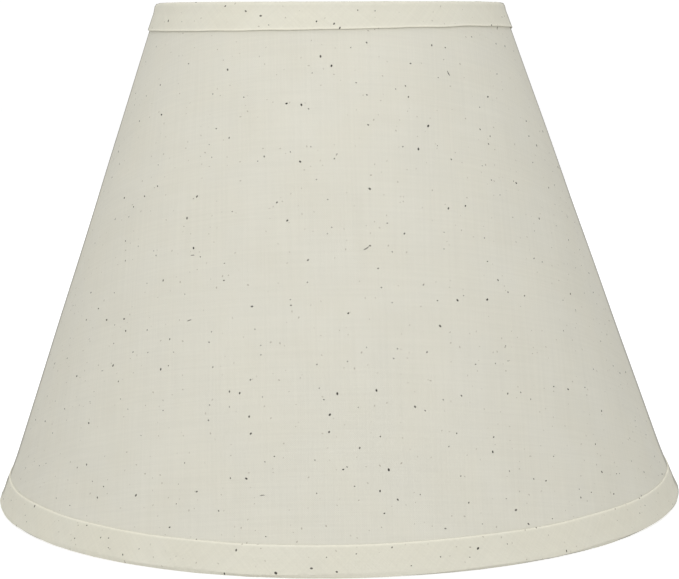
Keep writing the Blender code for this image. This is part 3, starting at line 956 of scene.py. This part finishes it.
# Place, size and power in watts of each light. All face the middle of the shade.
SOFTBOXES = {
    "front_softbox": ((-0.06, -0.95, 0.78), (0.8, 0.6), 4.05),
    "overhead_softbox": ((0.0, -0.10, 1.55), (0.9, 0.9), 3.8),
    "back_softbox": ((0.0, 1.70, 0.80), (1.0, 0.8), 4.5),
    "left_softbox": ((-0.50, -0.10, 0.80), (0.4, 0.4), 0.27),
    "right_softbox": ((0.50, -0.10, 0.80), (0.4, 0.4), 0.15),
}


def add_camera():
    """The photograph's view: close, nearly level with the top ring, and looking down a little."""
    data = bpy.data.cameras.new("camera")
    data.sensor_width = SENSOR
    data.lens = LENS
    camera = bpy.data.objects.new("camera", data)
    bpy.context.scene.collection.objects.link(camera)
    camera.matrix_world = (
        Matrix.Translation(CAMERA_PLACE)
        @ Matrix.Rotation(-CAMERA_ASIDE, 4, "Z")
        @ Matrix.Rotation(math.pi / 2 - CAMERA_DOWN, 4, "X")
        @ Matrix.Rotation(CAMERA_ROLL, 4, "Z")
    )
    bpy.context.scene.camera = camera


def add_softbox(name, place, size, power):
    """A soft rectangular light that faces the middle of the shade."""
    target = Vector((0, 0, TOTAL_HEIGHT / 2))
    data = bpy.data.lights.new(name, "AREA")
    data.shape = "RECTANGLE"
    data.size, data.size_y = size
    data.energy = power
    light = bpy.data.objects.new(name, data)
    bpy.context.scene.collection.objects.link(light)
    light.location = place
    light.rotation_euler = (target - Vector(place)).to_track_quat("-Z", "Y").to_euler()


def seen_strength(tree, lighting, shown):
    """A strength for the surround's own glow: one value as light, another, blown out, as backdrop."""
    path = tree.nodes.new("ShaderNodeLightPath")
    strength = tree.nodes.new("ShaderNodeMapRange")
    strength.inputs["To Min"].default_value = lighting
    strength.inputs["To Max"].default_value = shown
    tree.links.new(path.outputs["Is Camera Ray"], strength.inputs["Value"])
    return strength.outputs[0]


def add_stage():
    """A white floor and surround, and soft light from above and all round."""
    bm = bmesh.new()
    bmesh.ops.create_circle(bm, cap_ends=True, segments=96, radius=FLOOR_RADIUS)
    mesh = bpy.data.meshes.new("floor")
    bm.to_mesh(mesh)
    bm.free()
    floor = bpy.data.objects.new("floor", mesh)
    bpy.context.scene.collection.objects.link(floor)
    paper = Nodes("floor_paper")
    grain = paper.noise(paper.add("ShaderNodeTexCoord").outputs["Object"], 90.0, 3.0)
    paper.set(Base_Color=paper.mix(grain, (0.44, 0.44, 0.44, 1), (0.46, 0.46, 0.46, 1)), Roughness=0.9)
    paper.set(Emission_Color=(1, 1, 1, 1), Emission_Strength=seen_strength(paper.tree, *FLOOR_GLOW))
    floor.data.materials.append(paper.material)

    world = bpy.data.worlds.new("surround")
    bpy.context.scene.world = world
    world.use_nodes = True
    tree = world.node_tree
    glow = tree.nodes["Background"]
    glow.inputs["Color"].default_value = (1, 1, 1, 1)
    tree.links.new(seen_strength(tree, *SURROUND_GLOW), glow.inputs["Strength"])

    for name, (place, size, power) in SOFTBOXES.items():
        add_softbox(name, place, size, power)
    bpy.context.scene.view_settings.view_transform = "Standard"


# ---------------------------------------------------------------- the whole shade


def dress(piece, material, slot, *nodes):
    """Gives a piece its finish, puts it on the shade's one body, and hides the solids that it stands for."""
    piece.data.materials.clear()
    piece.data.materials.append(material)
    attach(piece, "root")
    if nodes:
        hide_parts(*nodes)


# The length along its arm, the width, and the height or depth of each weld bead, halved.
RING_WELD = (0.0013, 0.0017, 0.0015)
RING_WELD_DOWN = 0.0016  # down the arm, from the middle of the ring's wire
WASHER_WELD = (0.0030, 0.0018, 0.0007)
WASHER_WELD_OUT = 0.0026  # out from the arm's inner end


def main():
    add_camera()
    add_stage()

    face_cloth = cloth("flecked_cloth", (0.653, 0.638, 0.557), 2.3, bump=0.00004)
    tape_cloth = cloth("edging_cloth", (0.681, 0.663, 0.567), 11.9, bump=0.00005)
    white = styrene("white_styrene")
    brass = plated_wire("brass_plate", (0.80, 0.60, 0.30), (0.62, 0.45, 0.22), 0.20)
    zinc = plated_wire("zinc_plate", (0.62, 0.63, 0.65), (0.46, 0.47, 0.48), 0.32)
    weld = weld_metal("weld_metal")

    cover = rolled_sheet("cloth_panel", 0.0, CLOTH_THICKNESS)
    dress(cover, face_cloth, "flecked_cloth", "fabric_cover")
    liner = rolled_sheet("styrene_panel", CLOTH_THICKNESS + FILM_THICKNESS, STYRENE_THICKNESS)
    dress(liner, white, "white_styrene", "styrene_liner")

    tapes = ("foot_tape", "bottom_edging_tape", False), ("crown_tape", "top_edging_tape", True)
    for name, node, at_top in tapes:
        tape, flat = edging_tape(name, at_top)
        dress(tape, tape_cloth, "edging_cloth", node)

    dress(wire_ring("bottom_ring"), zinc, "zinc_plated_wire", "bottom_ring")
    dress(wire_ring("top_ring"), brass, "brass_plate", "top_ring")

    dress(washer(), brass, "brass_plate", "spider_washer")
    for index, (turn, (join, down)) in enumerate(zip(ARM_TURNS, arm_lines()), start=1):
        dress(spider_arm(index, turn), brass, "brass_plate", f"spider_arm_{index}")
        out = Vector((math.cos(turn), math.sin(turn), 0))
        place = Vector(join) + Vector(down) * RING_WELD_DOWN
        bead = weld_bead(f"ring_weld_{index}", place, RING_WELD, down, index)
        dress(bead, weld, "brass_plate")
        place = out * (ARM_INNER_END + WASHER_WELD_OUT) + Vector((0, 0, ARM_HEIGHT - 0.75 * ARM_RADIUS))
        bead = weld_bead(f"washer_weld_{index}", place, WASHER_WELD, out, index + 5)
        dress(bead, weld, "brass_plate")


main()
